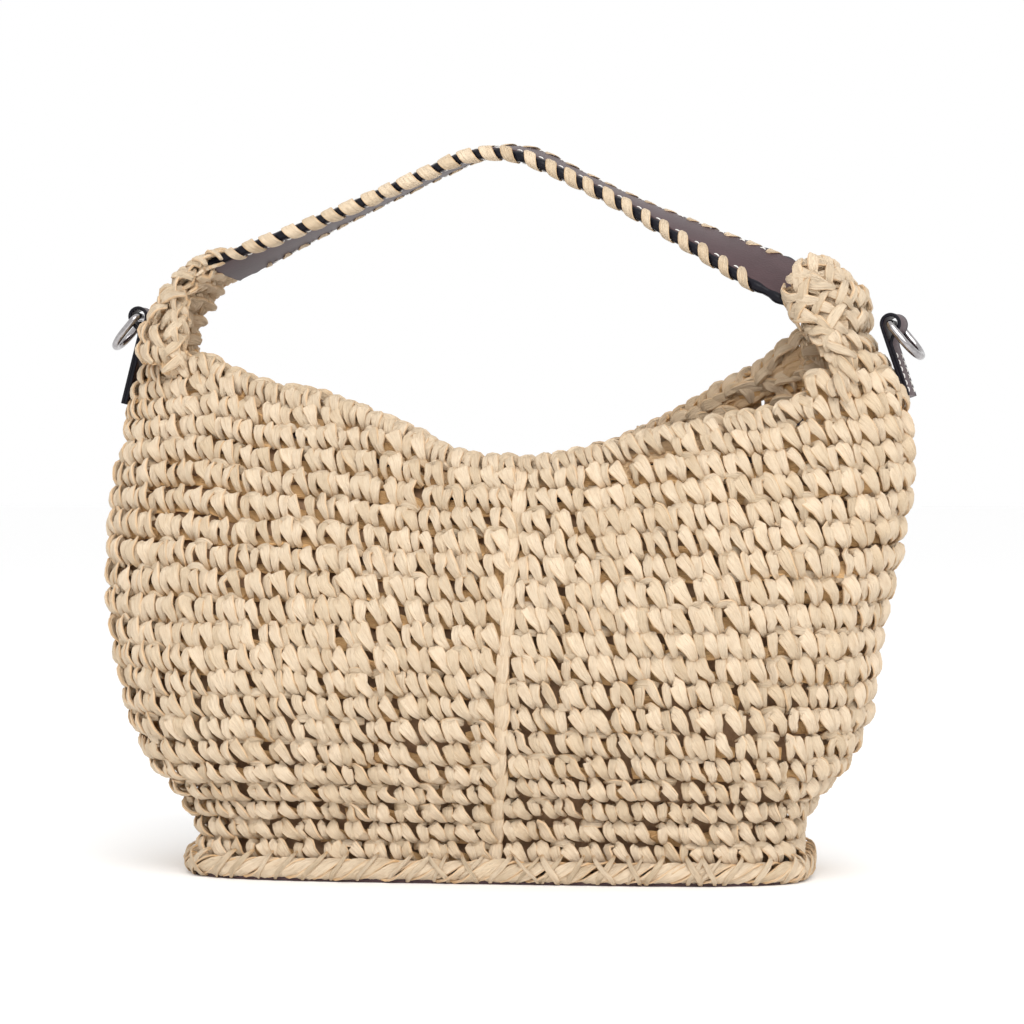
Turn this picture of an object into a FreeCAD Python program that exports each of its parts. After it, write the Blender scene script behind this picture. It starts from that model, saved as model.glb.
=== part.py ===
import FreeCAD, Part
import math
import os

# A crocheted raffia hobo bag with a laced leather strap, in millimetres.
# Frame: +Z up, +X to the bag's own left-to-right as seen from the front, front towards -Y.
# Origin: centre of the base's underside.

# ---- driving dimensions -------------------------------------------------------------
# Outline of the crocheted body, bottom to top. Each row is one level section:
# height, half-width, half-depth, squareness of the oblong, sideways shift of its centre.
BODY_SECTIONS = [
    (9, 150, 62, 4.5, 0),
    (22, 149, 61, 4.5, 0),
    (38, 158, 67, 4.0, 0),
    (52, 171, 74, 3.6, -1),
    (67, 179, 79, 3.3, -1.5),
    (90, 187, 84, 3.0, -3),
    (115, 192, 86, 2.8, -4.5),
    (142, 198, 83, 2.6, -5),
    (170, 202, 74, 2.5, -3),
    (195, 204, 62, 2.5, -1),
    (215, 202, 52, 2.6, 0),
    (235, 198, 44, 2.8, -1),
    (247, 193.5, 40, 2.9, -1.5),
    (258, 187, 37, 3.0, -3),
]
SECTION_POINTS = 40
SKEW_START, SKEW_RISE = 60, 190      # heights over which the soft top skews
SKEW = 0.249                         # front shift per mm of width, at the top
WALL = 8.0                           # crocheted wall

# Mouth edge of the front wall, from the left neck to the right; the back is its half turn.
MOUTH = [(-158, 270), (-120, 247), (-82, 237), (-45, 225), (-18, 209), (11, 204.5), (45, 208),
         (80, 217), (113, 223), (140, 228), (154, 235), (158, 247), (152, 268)]

SEAM_WIDTH = 5.0
SEAM_LEAN = 4.1                      # degrees that the centre seams lean

BASE_LEATHER = (151, 64, 2.0)        # half-width, half-depth, thickness
RIM_OUTER = (153, 66)
RIM_THICK = 8.0
RIM_TOP = 9.0
BASE_SQUARENESS = 4.5
BOARD_INSET, BOARD_THICK, BOARD_GAP = 9.2, 2.0, 0.1
WHIP_COUNT = 56
WHIP_SIZE = (1.2, 3.0, 11.0)         # thickness, width, length
WHIP_SLANT = 28                      # degrees from upright
WHIP_GAP, WHIP_ABOVE = 0.3, 3.0      # off the rim's face, and above its top

LINING_INSET, LINING_THICK = 9.4, 1.0
LINING_FLOOR = 4.5
LINING_DROP, BINDING_HEIGHT, BINDING_THICK = 20.0, 8.0, 2.2

HANDLE_YAW, HANDLE_TILT = -14.0, 2.5  # degrees, about Z and about the strap's width
HANDLE_SHIFT = -3.0
FOLD_HEIGHT, FOLD_RADIUS, FOLD_GAP = 281.0, 30.0, 0.5

STRAP_WIDTH = 35.0
STRAP_LAYERS = (1.5, 1.4, 1.5)       # bottom leather, core, top leather
STRAP_SLOPE = 24.0                   # degrees
STRAP_KNEE = (170.0, 286.0)          # where the leg turns down into the neck
STRAP_FOOT = (176.5, 263.0)
STRAP_PEAK_RADIUS, STRAP_KNEE_RADIUS = 58.0, 22.0

LACE_COUNT, LACE_PITCH = 27, 11.4
LACE_SIZE = (3.0, 1.1)               # width and thickness of a raffia turn
LACE_HOLE = 5.2                      # from the strap's edge
HOLE_CLEARANCE = 0.15
STITCH_SIZE = (3.0, 0.8, 0.5)        # length, width and thickness
STITCH_STEP = 2.1                    # two stitches lie this far either side of each gap's middle
STITCH_LINE = 14.7                   # from the strap's centre line
SEAT_GAP = 0.06                      # between the strap and the thread or raffia lying on it

# Neck of crochet round each strap end: centre u, centre z, tilt, half-thickness, half-depth
NECK_SECTIONS = [
    (170.0, 248.0, 2, 18.5, 32.0),
    (168.0, 266.0, 8, 18.0, 28.0),
    (162.0, 281.0, 33, 15.5, 26.5),
    (153.0, 291.0, 58, 12.5, 25.0),
    (140.0, 299.0, 66, 10.5, 23.5),
]
NECK_POINTS, NECK_SQUARENESS = 24, 2.6

# Each side loop is one leather strip folded in two over a ring and sewn down flat.
TAB_WIDTH, TAB_THICK = 14.0, 3.0     # thickness of the two layers together
EYE_OUTER, EYE_INNER = 5.2, 3.4
THROAT_LENGTH, THROAT_REACH = 8.0, (8.6, 1.6)
# foot of the strip, distance from there up to the eye, lean and yaw in degrees
TABS = {
    "left": {"foot": (-200.4, 45.0, 232.0), "reach": 46.0, "lean": 14.0, "yaw": 181.0},
    "right": {"foot": (199.9, -45.5, 232.0), "reach": 35.5, "lean": 19.0, "yaw": -14.0},
}
TAB_STITCH_SIZE, TAB_STITCH_PITCH, TAB_STITCH_INSET = (0.5, 0.8, 2.4), 3.6, 2.0
TAB_UNSEWN = 16.0                    # length below the eye that has no stitches

RING_WIRE = 1.9
RING_HALF, RING_ARM, RING_CORNER = 10.0, 10.0, 3.5
RING_LEAN = 40.0                     # degrees out from hanging straight down

V = FreeCAD.Vector
UP = V(0, 0, 1)
FAR = 600.0                          # well beyond the bag
OVERCUT = 5.0                        # how far a cutting solid reaches past what it cuts
SCRAP = 100.0                        # volume below which a leftover chip is dropped


# ---- small helpers ------------------------------------------------------------------
def smooth_step(t):
    t = max(0.0, min(1.0, t))
    return t * t * (3 - 2 * t)


def skew_at(z):
    return SKEW * smooth_step((z - SKEW_START) / SKEW_RISE)


def box(low, high):
    size = [h - l for l, h in zip(low, high)]
    return Part.makeBox(*size, V(*low))


def oblong_point(angle, half_width, half_depth, squareness):
    power = 2.0 / squareness
    c, s = math.cos(angle), math.sin(angle)
    x = half_width * math.copysign(abs(c) ** power, c)
    y = half_depth * math.copysign(abs(s) ** power, s)
    return x, y


def oblong_wire(z, half_width, half_depth, squareness, shift=0.0):
    points = []
    for i in range(SECTION_POINTS):
        angle = 2 * math.pi * (i + 0.5) / SECTION_POINTS
        x, y = oblong_point(angle, half_width, half_depth, squareness)
        x += shift
        points.append(V(x, y - skew_at(z) * x, z))
    curve = Part.BSplineCurve()
    curve.interpolate(Points=points, PeriodicFlag=True)
    return Part.Wire(curve.toShape())


def oblong_plate(half_width, half_depth, low, high):
    wire = oblong_wire(low, half_width, half_depth, BASE_SQUARENESS)
    return Part.Face(wire).extrude(V(0, 0, high - low))


def body_loft(inset, bottom=None, over_top=0.0):
    """The body's outline, moved in by inset, from bottom to over_top above its top."""
    rows = list(BODY_SECTIONS)
    if bottom is not None:
        rows[0] = (bottom,) + rows[0][1:]
    wires = [oblong_wire(z, a - inset, b - inset, n, shift) for z, a, b, n, shift in rows]
    if over_top:
        z, a, b, n, shift = rows[-1]
        wires.append(oblong_wire(z + over_top, a - inset, b - inset, n, shift))
    return Part.makeLoft(wires, True, False)


def mouth_prism(drop, half_turn):
    """Everything above the mouth edge, lowered by drop, on one side of the bag."""
    points = [V(x, 0, z - drop) for x, z in MOUTH]
    curve = Part.BSplineCurve()
    curve.interpolate(points)
    left, right = points[0], points[-1]
    top_left, top_right = V(left.x, 0, FAR), V(right.x, 0, FAR)
    wire = Part.Wire([
        curve.toShape(),
        Part.makeLine(right, top_right),
        Part.makeLine(top_right, top_left),
        Part.makeLine(top_left, left),
    ])
    face = Part.Face(wire)
    face.translate(V(0, FAR / 2, 0))
    prism = face.extrude(V(0, -FAR, 0))
    # the skewed top's own middle plane divides the front from the back
    front = box((-FAR, -FAR, 0), (FAR, 0, 2 * FAR))
    front.rotate(V(), UP, HANDLE_YAW)
    prism = prism.common(front)
    if half_turn:
        prism.rotate(V(), UP, 180)
    return prism


def above_mouth(drop):
    return mouth_prism(drop, False).fuse(mouth_prism(drop, True))


def seam_box(half_turn):
    gap = box((-SEAM_WIDTH / 2, -FAR, -50), (SEAM_WIDTH / 2, 0, FAR))
    gap.rotate(V(), V(0, 1, 0), SEAM_LEAN)
    if half_turn:
        gap.rotate(V(), UP, 180)
    return gap


def place_handle(shape):
    """From the handle's own upright frame to its place on the bag."""
    placed = shape.copy()
    placed.rotate(V(0, 0, FOLD_HEIGHT), V(0, 1, 0), HANDLE_TILT)
    placed.rotate(V(), UP, HANDLE_YAW)
    placed.translate(V(HANDLE_SHIFT, 0, 0))
    return placed


def fold_cylinder(radius):
    return Part.makeCylinder(radius, FAR, V(-FAR / 2, 0, FOLD_HEIGHT), V(1, 0, 0))


# ---- crocheted body -----------------------------------------------------------------
def make_shell():
    shell = body_loft(0).cut(body_loft(WALL, bottom=RIM_TOP - OVERCUT, over_top=OVERCUT))
    shell = shell.cut(above_mouth(0))
    return shell.cut(place_handle(fold_cylinder(FOLD_RADIUS + FOLD_GAP)))


def largest(shape):
    return max(shape.Solids, key=lambda solid: solid.Volume)


def make_panels(shell, seams):
    halves = shell.cut(seams[0]).cut(seams[1])
    pair = sorted(halves.Solids, key=lambda s: s.Volume, reverse=True)[:2]
    left, right = sorted(pair, key=lambda s: s.CenterOfMass.x)
    return left, right


# ---- base -----------------------------------------------------------------------------
def make_rim():
    ring = oblong_plate(*RIM_OUTER, BASE_LEATHER[2], RIM_TOP)
    inner = [size - RIM_THICK for size in RIM_OUTER]
    return ring.cut(oblong_plate(*inner, BASE_LEATHER[2] - 1, RIM_TOP + 1))


def make_board():
    size = [half - BOARD_INSET for half in RIM_OUTER]
    low = BASE_LEATHER[2] + BOARD_GAP
    return oblong_plate(*size, low, low + BOARD_THICK)


def make_whipstitch():
    thick, width, length = WHIP_SIZE
    outline = oblong_wire(0, RIM_OUTER[0], RIM_OUTER[1], BASE_SQUARENESS)
    edge = outline.Edges[0]
    strands = []
    for i in range(WHIP_COUNT):
        at = edge.getParameterByLength(edge.Length * i / WHIP_COUNT)
        spot = edge.valueAt(at)
        along = edge.tangentAt(at)
        outward = math.degrees(math.atan2(-along.x, along.y))
        strand = Part.makeBox(thick, width, length, V(WHIP_GAP, -width / 2, -length / 2))
        strand.rotate(V(), V(1, 0, 0), WHIP_SLANT)
        strand.rotate(V(), UP, outward)
        strand.translate(V(spot.x, spot.y, RIM_TOP + WHIP_ABOVE - length / 2))
        strands.append(strand)
    return Part.makeCompound(strands)


# ---- lining ---------------------------------------------------------------------------
def make_lining():
    outer = body_loft(LINING_INSET, bottom=LINING_FLOOR)
    inner = body_loft(LINING_INSET + LINING_THICK, bottom=LINING_FLOOR, over_top=OVERCUT)
    floor = box((-FAR, -FAR, 0), (FAR, FAR, LINING_FLOOR + LINING_THICK))
    pouch = outer.cut(inner.cut(floor))
    return largest(pouch.cut(above_mouth(LINING_DROP + BINDING_HEIGHT)).cut(lining_top()))


def lining_top():
    """Nothing of the lining reaches into the necks."""
    top = MOUTH[1][1] - LINING_DROP
    return box((-FAR, -FAR, top), (FAR, FAR, FAR))


def make_binding():
    outer = body_loft(LINING_INSET)
    inner = body_loft(LINING_INSET + BINDING_THICK, over_top=OVERCUT)
    band = outer.cut(inner).common(above_mouth(LINING_DROP + BINDING_HEIGHT))
    band = band.cut(above_mouth(LINING_DROP)).cut(lining_top())
    return Part.makeCompound([s for s in band.Solids if s.Volume > SCRAP])


# ---- strap ------------------------------------------------------------------------------
def strap_apex():
    u, z = STRAP_KNEE
    return V(0, 0, z + u * math.tan(math.radians(STRAP_SLOPE)))


def strap_nodes():
    foot = V(STRAP_FOOT[0], 0, STRAP_FOOT[1])
    knee = V(STRAP_KNEE[0], 0, STRAP_KNEE[1])
    mirrored = [V(-p.x, 0, p.z) for p in (knee, foot)]
    return [foot, knee, strap_apex()] + mirrored


def offset_path(offset):
    """Edges of the strap's path, moved outward by offset, with its bends as arcs."""
    nodes = strap_nodes()
    radii = [STRAP_KNEE_RADIUS, STRAP_PEAK_RADIUS, STRAP_KNEE_RADIUS]
    edges = []
    start = None
    for i, radius in enumerate(radii, 1):
        into = (nodes[i] - nodes[i - 1]).normalize()
        out = (nodes[i + 1] - nodes[i]).normalize()
        side_in = V(-into.z, 0, into.x).negative()
        side_out = V(-out.z, 0, out.x).negative()
        turn = into.getAngle(out)
        reach = radius * math.tan(turn / 2)
        first = nodes[i] - into * reach + side_in * offset
        last = nodes[i] + out * reach + side_out * offset
        centre = nodes[i] - into * reach - side_in * radius
        middle = centre + (side_in + side_out).normalize() * (radius + offset)
        if start is None:
            start = nodes[0] + side_in * offset
        edges.append(Part.makeLine(start, first))
        edges.append(Part.Arc(first, middle, last).toShape())
        start = last
    edges.append(Part.makeLine(start, nodes[-1] + side_out * offset))
    return edges


def ribbon(low, high, width):
    """A strip between two offsets of the strap's path."""
    inner, outer = offset_path(low), offset_path(high)
    ends = []
    for which in (0, -1):
        a, b = inner[which].Vertexes[which].Point, outer[which].Vertexes[which].Point
        ends.append(Part.makeLine(a, b))
    wire = Part.Wire(Part.__sortEdges__(inner + outer + ends))
    strip = Part.Face(wire).extrude(V(0, width, 0))
    strip.translate(V(0, -width / 2, 0))
    return strip


def strap_spot(distance):
    """Point and slope of the strap's middle line, at a distance from the peak."""
    slope = math.radians(STRAP_SLOPE)
    side = math.copysign(1.0, distance)
    half_arc = STRAP_PEAK_RADIUS * slope
    centre_z = strap_apex().z - STRAP_PEAK_RADIUS / math.cos(slope)
    turned = min(abs(distance), half_arc) / STRAP_PEAK_RADIUS
    u = STRAP_PEAK_RADIUS * math.sin(turned)
    z = centre_z + STRAP_PEAK_RADIUS * math.cos(turned)
    rest = max(0.0, abs(distance) - half_arc)
    u += rest * math.cos(slope)
    z -= rest * math.sin(slope)
    return V(side * u, 0, z), math.degrees(turned) * side


def on_strap(shape, distance):
    """Moves a shape made at the origin, flat side up, onto the strap."""
    spot, fall = strap_spot(distance)
    placed = shape.copy()
    placed.rotate(V(), V(0, 1, 0), fall)
    placed.translate(spot)
    return placed


def lace_turn(side, clearance=0.0):
    width, thick = LACE_SIZE
    half = sum(STRAP_LAYERS) / 2 + SEAT_GAP
    edge = STRAP_WIDTH / 2
    inside = edge - LACE_HOLE
    outer = box((-width / 2, inside, -half - thick), (width / 2, edge + thick, half + thick))
    inner = box((-width, inside + thick, -half), (width, edge, half))
    turn = outer.cut(inner)
    if clearance:
        turn = box((-width / 2 - clearance, inside - clearance, -half * 2),
                   (width / 2 + clearance, inside + thick + clearance, half * 2))
    if side < 0:
        turn.rotate(V(), UP, 180)
    return turn


def lace_distances():
    return [(i - (LACE_COUNT - 1) / 2) * LACE_PITCH for i in range(LACE_COUNT)]


def make_lacing(side):
    return Part.makeCompound([on_strap(lace_turn(side), d) for d in lace_distances()])


def lace_holes():
    holes = []
    for side in (-1, 1):
        cutter = lace_turn(side, HOLE_CLEARANCE)
        holes += [on_strap(cutter, d) for d in lace_distances()]
    return Part.makeCompound(holes)


def make_strap_layers():
    holes = lace_holes()
    layers = []
    low = -sum(STRAP_LAYERS) / 2
    for thick in STRAP_LAYERS:
        layers.append(ribbon(low, low + thick, STRAP_WIDTH).cut(holes))
        low += thick
    return layers


def make_strap_stitching():
    length, width, thick = STITCH_SIZE
    half = sum(STRAP_LAYERS) / 2 + SEAT_GAP
    laces = lace_distances()
    middles = [(a + b) / 2 for a, b in zip(laces, laces[1:])]
    spots = [m + step for m in middles for step in (-STITCH_STEP, STITCH_STEP)]
    stitches = []
    for line in (-STITCH_LINE, STITCH_LINE):
        for low in (half, -half - thick):
            stitch = box((-length / 2, line - width / 2, low), (length / 2, line + width / 2, low + thick))
            stitches += [on_strap(stitch, spot) for spot in spots]
    return Part.makeCompound(stitches)


# ---- necks ------------------------------------------------------------------------------
def neck_wire(u, z, tilt, half_thick, half_depth):
    points = []
    for i in range(NECK_POINTS):
        angle = 2 * math.pi * (i + 0.5) / NECK_POINTS
        across, depth = oblong_point(angle, half_thick, half_depth, NECK_SQUARENESS)
        points.append(V(across, depth, 0))
    curve = Part.BSplineCurve()
    curve.interpolate(Points=points, PeriodicFlag=True)
    wire = Part.Wire(curve.toShape())
    wire.rotate(V(), V(0, 1, 0), -tilt)
    wire.translate(V(u, 0, z))
    return wire


def make_neck(side):
    """The crochet that gathers round a strap end; it flexes with the strap."""
    neck = Part.makeLoft([neck_wire(*row) for row in NECK_SECTIONS], True, False)
    upper = box((0, -FAR, FOLD_HEIGHT), (FAR, FAR, FAR))
    neck = neck.common(fold_cylinder(FOLD_RADIUS).fuse(upper))
    if side < 0:
        neck = neck.mirror(V(), V(1, 0, 0))
    half = sum(STRAP_LAYERS) / 2
    room = ribbon(-half, half, STRAP_WIDTH)
    return largest(neck.cut(room))


# ---- side loops and rings -----------------------------------------------------------------
def place_tab(shape, spec):
    placed = shape.copy()
    placed.rotate(V(), V(0, 1, 0), -spec["lean"])
    placed.rotate(V(), UP, spec["yaw"])
    placed.translate(V(*spec["foot"]))
    return placed


def make_tab(spec):
    reach = spec["reach"]
    half = TAB_WIDTH / 2
    strip = box((0, -half, 0), (TAB_THICK, half, reach))
    eye_at = V(EYE_OUTER, -half, reach)
    roll = Part.makeCylinder(EYE_OUTER, TAB_WIDTH, eye_at, V(0, 1, 0))
    eye = Part.makeCylinder(EYE_INNER, TAB_WIDTH, eye_at, V(0, 1, 0))
    low, high = V(TAB_THICK, -half, reach - THROAT_LENGTH), V(TAB_THICK, -half, reach)
    shoulder = V(THROAT_REACH[0], -half, reach - THROAT_REACH[1])
    throat = Part.Face(Part.makePolygon([low, shoulder, high, low])).extrude(V(0, TAB_WIDTH, 0))
    return place_tab(strip.fuse([roll, throat]).cut(eye).removeSplitter(), spec)


def make_tab_stitches(spec):
    thick, width, length = TAB_STITCH_SIZE
    count = int((spec["reach"] - TAB_UNSEWN) / TAB_STITCH_PITCH)
    line = TAB_WIDTH / 2 - TAB_STITCH_INSET
    stitches = []
    for y in (-line, line):
        for i in range(count):
            low = TAB_STITCH_INSET + i * TAB_STITCH_PITCH
            stitch = Part.makeBox(thick, width, length, V(TAB_THICK, y - width / 2, low))
            stitches.append(place_tab(stitch, spec))
    return Part.makeCompound(stitches)


def ring_path():
    """A D: a bar along Y at the origin, two arms down, a half-circle below."""
    h, arm, r = RING_HALF, RING_ARM, RING_CORNER
    s = r * (1 - math.sqrt(0.5))
    edges = [Part.makeLine(V(0, -h + r, 0), V(0, h - r, 0))]
    edges.append(Part.Arc(V(0, h - r, 0), V(0, h - s, -s), V(0, h, -r)).toShape())
    edges.append(Part.makeLine(V(0, h, -r), V(0, h, -arm)))
    edges.append(Part.Arc(V(0, h, -arm), V(0, 0, -arm - h), V(0, -h, -arm)).toShape())
    edges.append(Part.makeLine(V(0, -h, -arm), V(0, -h, -r)))
    edges.append(Part.Arc(V(0, -h, -r), V(0, -h + s, -s), V(0, -h + r, 0)).toShape())
    return Part.Wire(edges)


def make_ring(spec):
    path = ring_path()
    start = path.Edges[0].valueAt(path.Edges[0].FirstParameter)
    section = Part.Wire(Part.makeCircle(RING_WIRE, start, V(0, 1, 0)))
    ring = path.makePipeShell([section], True, False)
    # undo the strip's own lean, so that the ring's lean is measured from plumb
    ring.rotate(V(), V(0, 1, 0), spec["lean"] - RING_LEAN)
    ring.translate(V(EYE_OUTER, 0, spec["reach"]))
    return place_tab(ring, spec)


# ---- the whole bag ----------------------------------------------------------------------
def make_parts():
    shell = make_shell()
    seams = [seam_box(False), seam_box(True)]
    left, right = make_panels(shell, seams)
    bottom, core, top = make_strap_layers()
    parts = {
        "panel_left": left,
        "panel_right": right,
        "seam_front": largest(shell.common(seams[0])),
        "seam_back": largest(shell.common(seams[1])),
        "base_leather": oblong_plate(BASE_LEATHER[0], BASE_LEATHER[1], 0, BASE_LEATHER[2]),
        "base_rim": make_rim(),
        "base_board": make_board(),
        "base_whipstitch": make_whipstitch(),
        "lining": make_lining(),
        "lining_binding": make_binding(),
        "strap_bottom": place_handle(bottom),
        "strap_core": place_handle(core),
        "strap_top": place_handle(top),
        "strap_lacing_front": place_handle(make_lacing(-1)),
        "strap_lacing_back": place_handle(make_lacing(1)),
        "strap_stitching": place_handle(make_strap_stitching()),
        "neck_left": place_handle(make_neck(-1)),
        "neck_right": place_handle(make_neck(1)),
    }
    for side, spec in TABS.items():
        parts["tab_" + side] = make_tab(spec)
        parts["tab_stitches_" + side] = make_tab_stitches(spec)
        parts["ring_" + side] = make_ring(spec)
    return parts


os.makedirs("parts", exist_ok=True)
for name, shape in make_parts().items():
    shape.exportStep("parts/" + name + ".step")
    print(name, round(shape.Volume), len(shape.Solids), shape.isValid(), shape.BoundBox)
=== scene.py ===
"""Looks of a crocheted raffia hobo bag, built round its CAD frame. Lengths are worked out in
millimetres, in the CAD's own axes (+Z up, front towards -Y), and become metres in each mesh."""
from math import cos, pi, radians, sin, tan

import bpy
import numpy as np
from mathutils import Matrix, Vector


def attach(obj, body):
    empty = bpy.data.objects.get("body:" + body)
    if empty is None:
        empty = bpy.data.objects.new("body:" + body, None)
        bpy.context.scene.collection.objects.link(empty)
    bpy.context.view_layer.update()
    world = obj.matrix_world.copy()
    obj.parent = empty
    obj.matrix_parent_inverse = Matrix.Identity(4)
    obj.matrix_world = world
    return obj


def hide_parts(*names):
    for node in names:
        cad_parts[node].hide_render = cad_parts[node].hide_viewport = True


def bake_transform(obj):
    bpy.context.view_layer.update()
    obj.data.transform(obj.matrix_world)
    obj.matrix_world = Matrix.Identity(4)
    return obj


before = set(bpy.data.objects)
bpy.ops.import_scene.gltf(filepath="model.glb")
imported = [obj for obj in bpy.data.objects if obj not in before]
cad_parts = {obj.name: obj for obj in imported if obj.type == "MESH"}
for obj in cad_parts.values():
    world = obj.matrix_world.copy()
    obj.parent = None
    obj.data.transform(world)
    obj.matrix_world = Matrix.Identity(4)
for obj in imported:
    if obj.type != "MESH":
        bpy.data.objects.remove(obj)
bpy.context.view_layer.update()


def numbers(*rows):
    return np.array(rows, float)


MM = 0.001
RNG = np.random.default_rng(20)

# ---- outline of the body, as in the CAD: height, half-width, half-depth, squareness, shift ----
BODY = numbers(
    (9, 150, 62, 4.5, 0), (22, 149, 61, 4.5, 0), (38, 158, 67, 4.0, 0), (52, 171, 74, 3.6, -1),
    (67, 179, 79, 3.3, -1.5), (90, 187, 84, 3.0, -3), (115, 192, 86, 2.8, -4.5),
    (142, 198, 83, 2.6, -5), (170, 202, 74, 2.5, -3), (195, 204, 62, 2.5, -1),
    (215, 202, 52, 2.6, 0), (235, 198, 44, 2.8, -1), (247, 193.5, 40, 2.9, -1.5),
    (258, 187, 37, 3.0, -3),
)
SKEW, SKEW_START, SKEW_RISE = 0.249, 60, 190
# height of the mouth's edge at each x of the front wall
MOUTH_RISE = [(45, 208), (80, 217), (113, 223), (140, 228), (154, 235)]
MOUTH = numbers(
    (-158, 260), (-140, 249.5), (-120, 242.5), (-82, 234.3), (-45, 221), (-18, 208.5), (11, 204.5),
    *MOUTH_RISE,
)
# the same for the back wall, turned half round; it dips a little more than the front does
MOUTH_BACK = numbers(
    (-158, 269), (-143, 259), (-132, 252), (-117, 244), (-102, 236.5), (-87, 229), (-72, 221.5),
    (-54, 214), (-30, 207), (-8, 204), (18, 204.5), *MOUTH_RISE,
)
MOUTH_LOW = 204.5
MOUTH_REACH = 153.0                  # beyond this, left and right, the wall runs up into the necks

# handle frame: yaw and tilt in degrees, sideways shift, height of the fold
HANDLE_YAW, HANDLE_TILT, HANDLE_SHIFT, FOLD_HEIGHT = -14.0, 2.5, -3.0, 281.0


# ---- numbers and curves ----
def smooth_step(t):
    t = np.clip(t, 0, 1)
    return t * t * (3 - 2 * t)


def through(table, where):
    """Smooth curve through the rows of a table whose first column is the position."""
    keys, values = table[:, 0], table[:, 1:]
    slopes = np.gradient(values, keys, axis=0)
    where = np.clip(where, keys[0], keys[-1])
    i = np.clip(np.searchsorted(keys, where) - 1, 0, len(keys) - 2)
    step = (keys[i + 1] - keys[i])[..., None]
    t = ((where - keys[i])[..., None]) / step
    left = (1 + 2 * t) * (1 - t) ** 2 * values[i] + t * (1 - t) ** 2 * step * slopes[i]
    right = t * t * (3 - 2 * t) * values[i + 1] + t * t * (t - 1) * step * slopes[i + 1]
    return left + right


def unit(v):
    return v / np.maximum(np.linalg.norm(v, axis=-1, keepdims=True), 1e-9)


def squarish(share, power):
    """A cosine or sine raised to a power with its sign kept, which squares a circle."""
    return np.sign(share) * np.abs(share) ** power


def turned(a, b, angle):
    """The pair a, b turned by an angle, a towards b."""
    return a * np.cos(angle) - b * np.sin(angle), a * np.sin(angle) + b * np.cos(angle)


def lengths_along(line):
    """Length from the start of a line to each of its points."""
    steps = np.linalg.norm(np.diff(line, axis=-2), axis=-1)
    return np.concatenate([np.zeros_like(steps[..., :1]), np.cumsum(steps, -1)], -1)


def along_line(where, run, line):
    """Points of a line at lengths along it; run holds the length at each of its points."""
    return np.stack([np.interp(where, run, line[:, i]) for i in range(3)], -1)


def spline_weights(controls, samples):
    """Matrix that turns control points into points of a curve through them."""
    at = np.linspace(0, controls - 1, samples)
    table = np.column_stack([np.arange(controls), np.eye(controls)])
    return through(table, at)


def ripple(p, size, seed):
    """Smooth noise of about -1 to 1 over a distance of size."""
    rng = np.random.default_rng(seed)
    total = np.zeros(p.shape[:-1])
    for _ in range(6):
        direction = unit(rng.normal(size=3)) / size * rng.uniform(0.6, 1.7)
        total += np.sin(p @ direction * 2 * pi + rng.uniform(0, 2 * pi))
    return total / 3.5


# ---- surfaces that the crochet follows ----
def skew_at(z):
    return SKEW * smooth_step((z - SKEW_START) / SKEW_RISE)


def wall(angle, z, inset=0.0):
    """Point of the body's outer face: angle 0 is its right end, -pi/2 the middle of the front."""
    a, b, n, shift = np.moveaxis(through(BODY, z), -1, 0)
    x = (a - inset) * squarish(np.cos(angle), 2 / n) + shift
    y = (b - inset) * squarish(np.sin(angle), 2 / n) - skew_at(z) * x
    return np.stack([x, y, z], -1)


def front_angle(x, z):
    """Angle round the body at which its front outer face is at x."""
    a, _, n, shift = np.moveaxis(through(BODY, z), -1, 0)
    share = np.clip((x - shift) / a, -0.999, 0.999)
    return -np.arccos(squarish(share, n / 2))


def front_point(x, z, out=0.0):
    """Point of the front face at x and z, moved out along the face's normal."""
    return wall(front_angle(x, z), z, -out)


def half_turned(p):
    return p * (-1.0, -1.0, 1.0)


def mouth_height(x, angle):
    """Height of the mouth's edge above a point of the wall, front and back blended at the ends."""
    front = through(MOUTH, np.clip(x, -MOUTH_REACH, MOUTH_REACH))[..., 0]
    back = through(MOUTH_BACK, np.clip(-x, -MOUTH_REACH, MOUTH_REACH))[..., 0]
    share = smooth_step((np.sin(angle) + 1) / 2)
    return front * (1 - share) + back * share


def handle_place(p):
    """From the handle's upright frame to its place on the bag."""
    u, z = turned(p[..., 0], p[..., 2] - FOLD_HEIGHT, -radians(HANDLE_TILT))
    x, y = turned(u, p[..., 1], radians(HANDLE_YAW))
    return np.stack([x + HANDLE_SHIFT, y, z + FOLD_HEIGHT], -1)


# ---- raffia strands ----
# Section of a folded raffia ribbon, anticlockwise: across and out, as shares of the half sizes.
FOLD = numbers(
    (1.0, -0.1), (0.88, 0.52), (0.34, 1.0), (-0.30, 0.74), (-0.86, 0.70),
    (-1.0, 0.0), (-0.8, -0.65), (0.0, -0.9), (0.82, -0.6),
)
CREASE_ANGLE, SLAB_CREASE = radians(34), radians(50)   # sharp edges start here


def circle(corners):
    turns = np.arange(corners) * 2 * pi / corners
    return np.stack([np.cos(turns), np.sin(turns)], -1)


ROUND = circle(8)


def tube_sides(rings, m, closed=False):
    """Quads between rings of m corners; a closed tube joins its last ring to the first."""
    r, j = np.meshgrid(np.arange(rings if closed else rings - 1), np.arange(m), indexing="ij")
    k, q = (j + 1) % m, (r + 1) % rings
    return np.stack([r * m + j, r * m + k, q * m + k, q * m + j], -1).reshape(-1, 4)


def tube_ends(rings, m):
    return [np.arange(m)[None, ::-1], (rings - 1) * m + np.arange(m)[None]]


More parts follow.
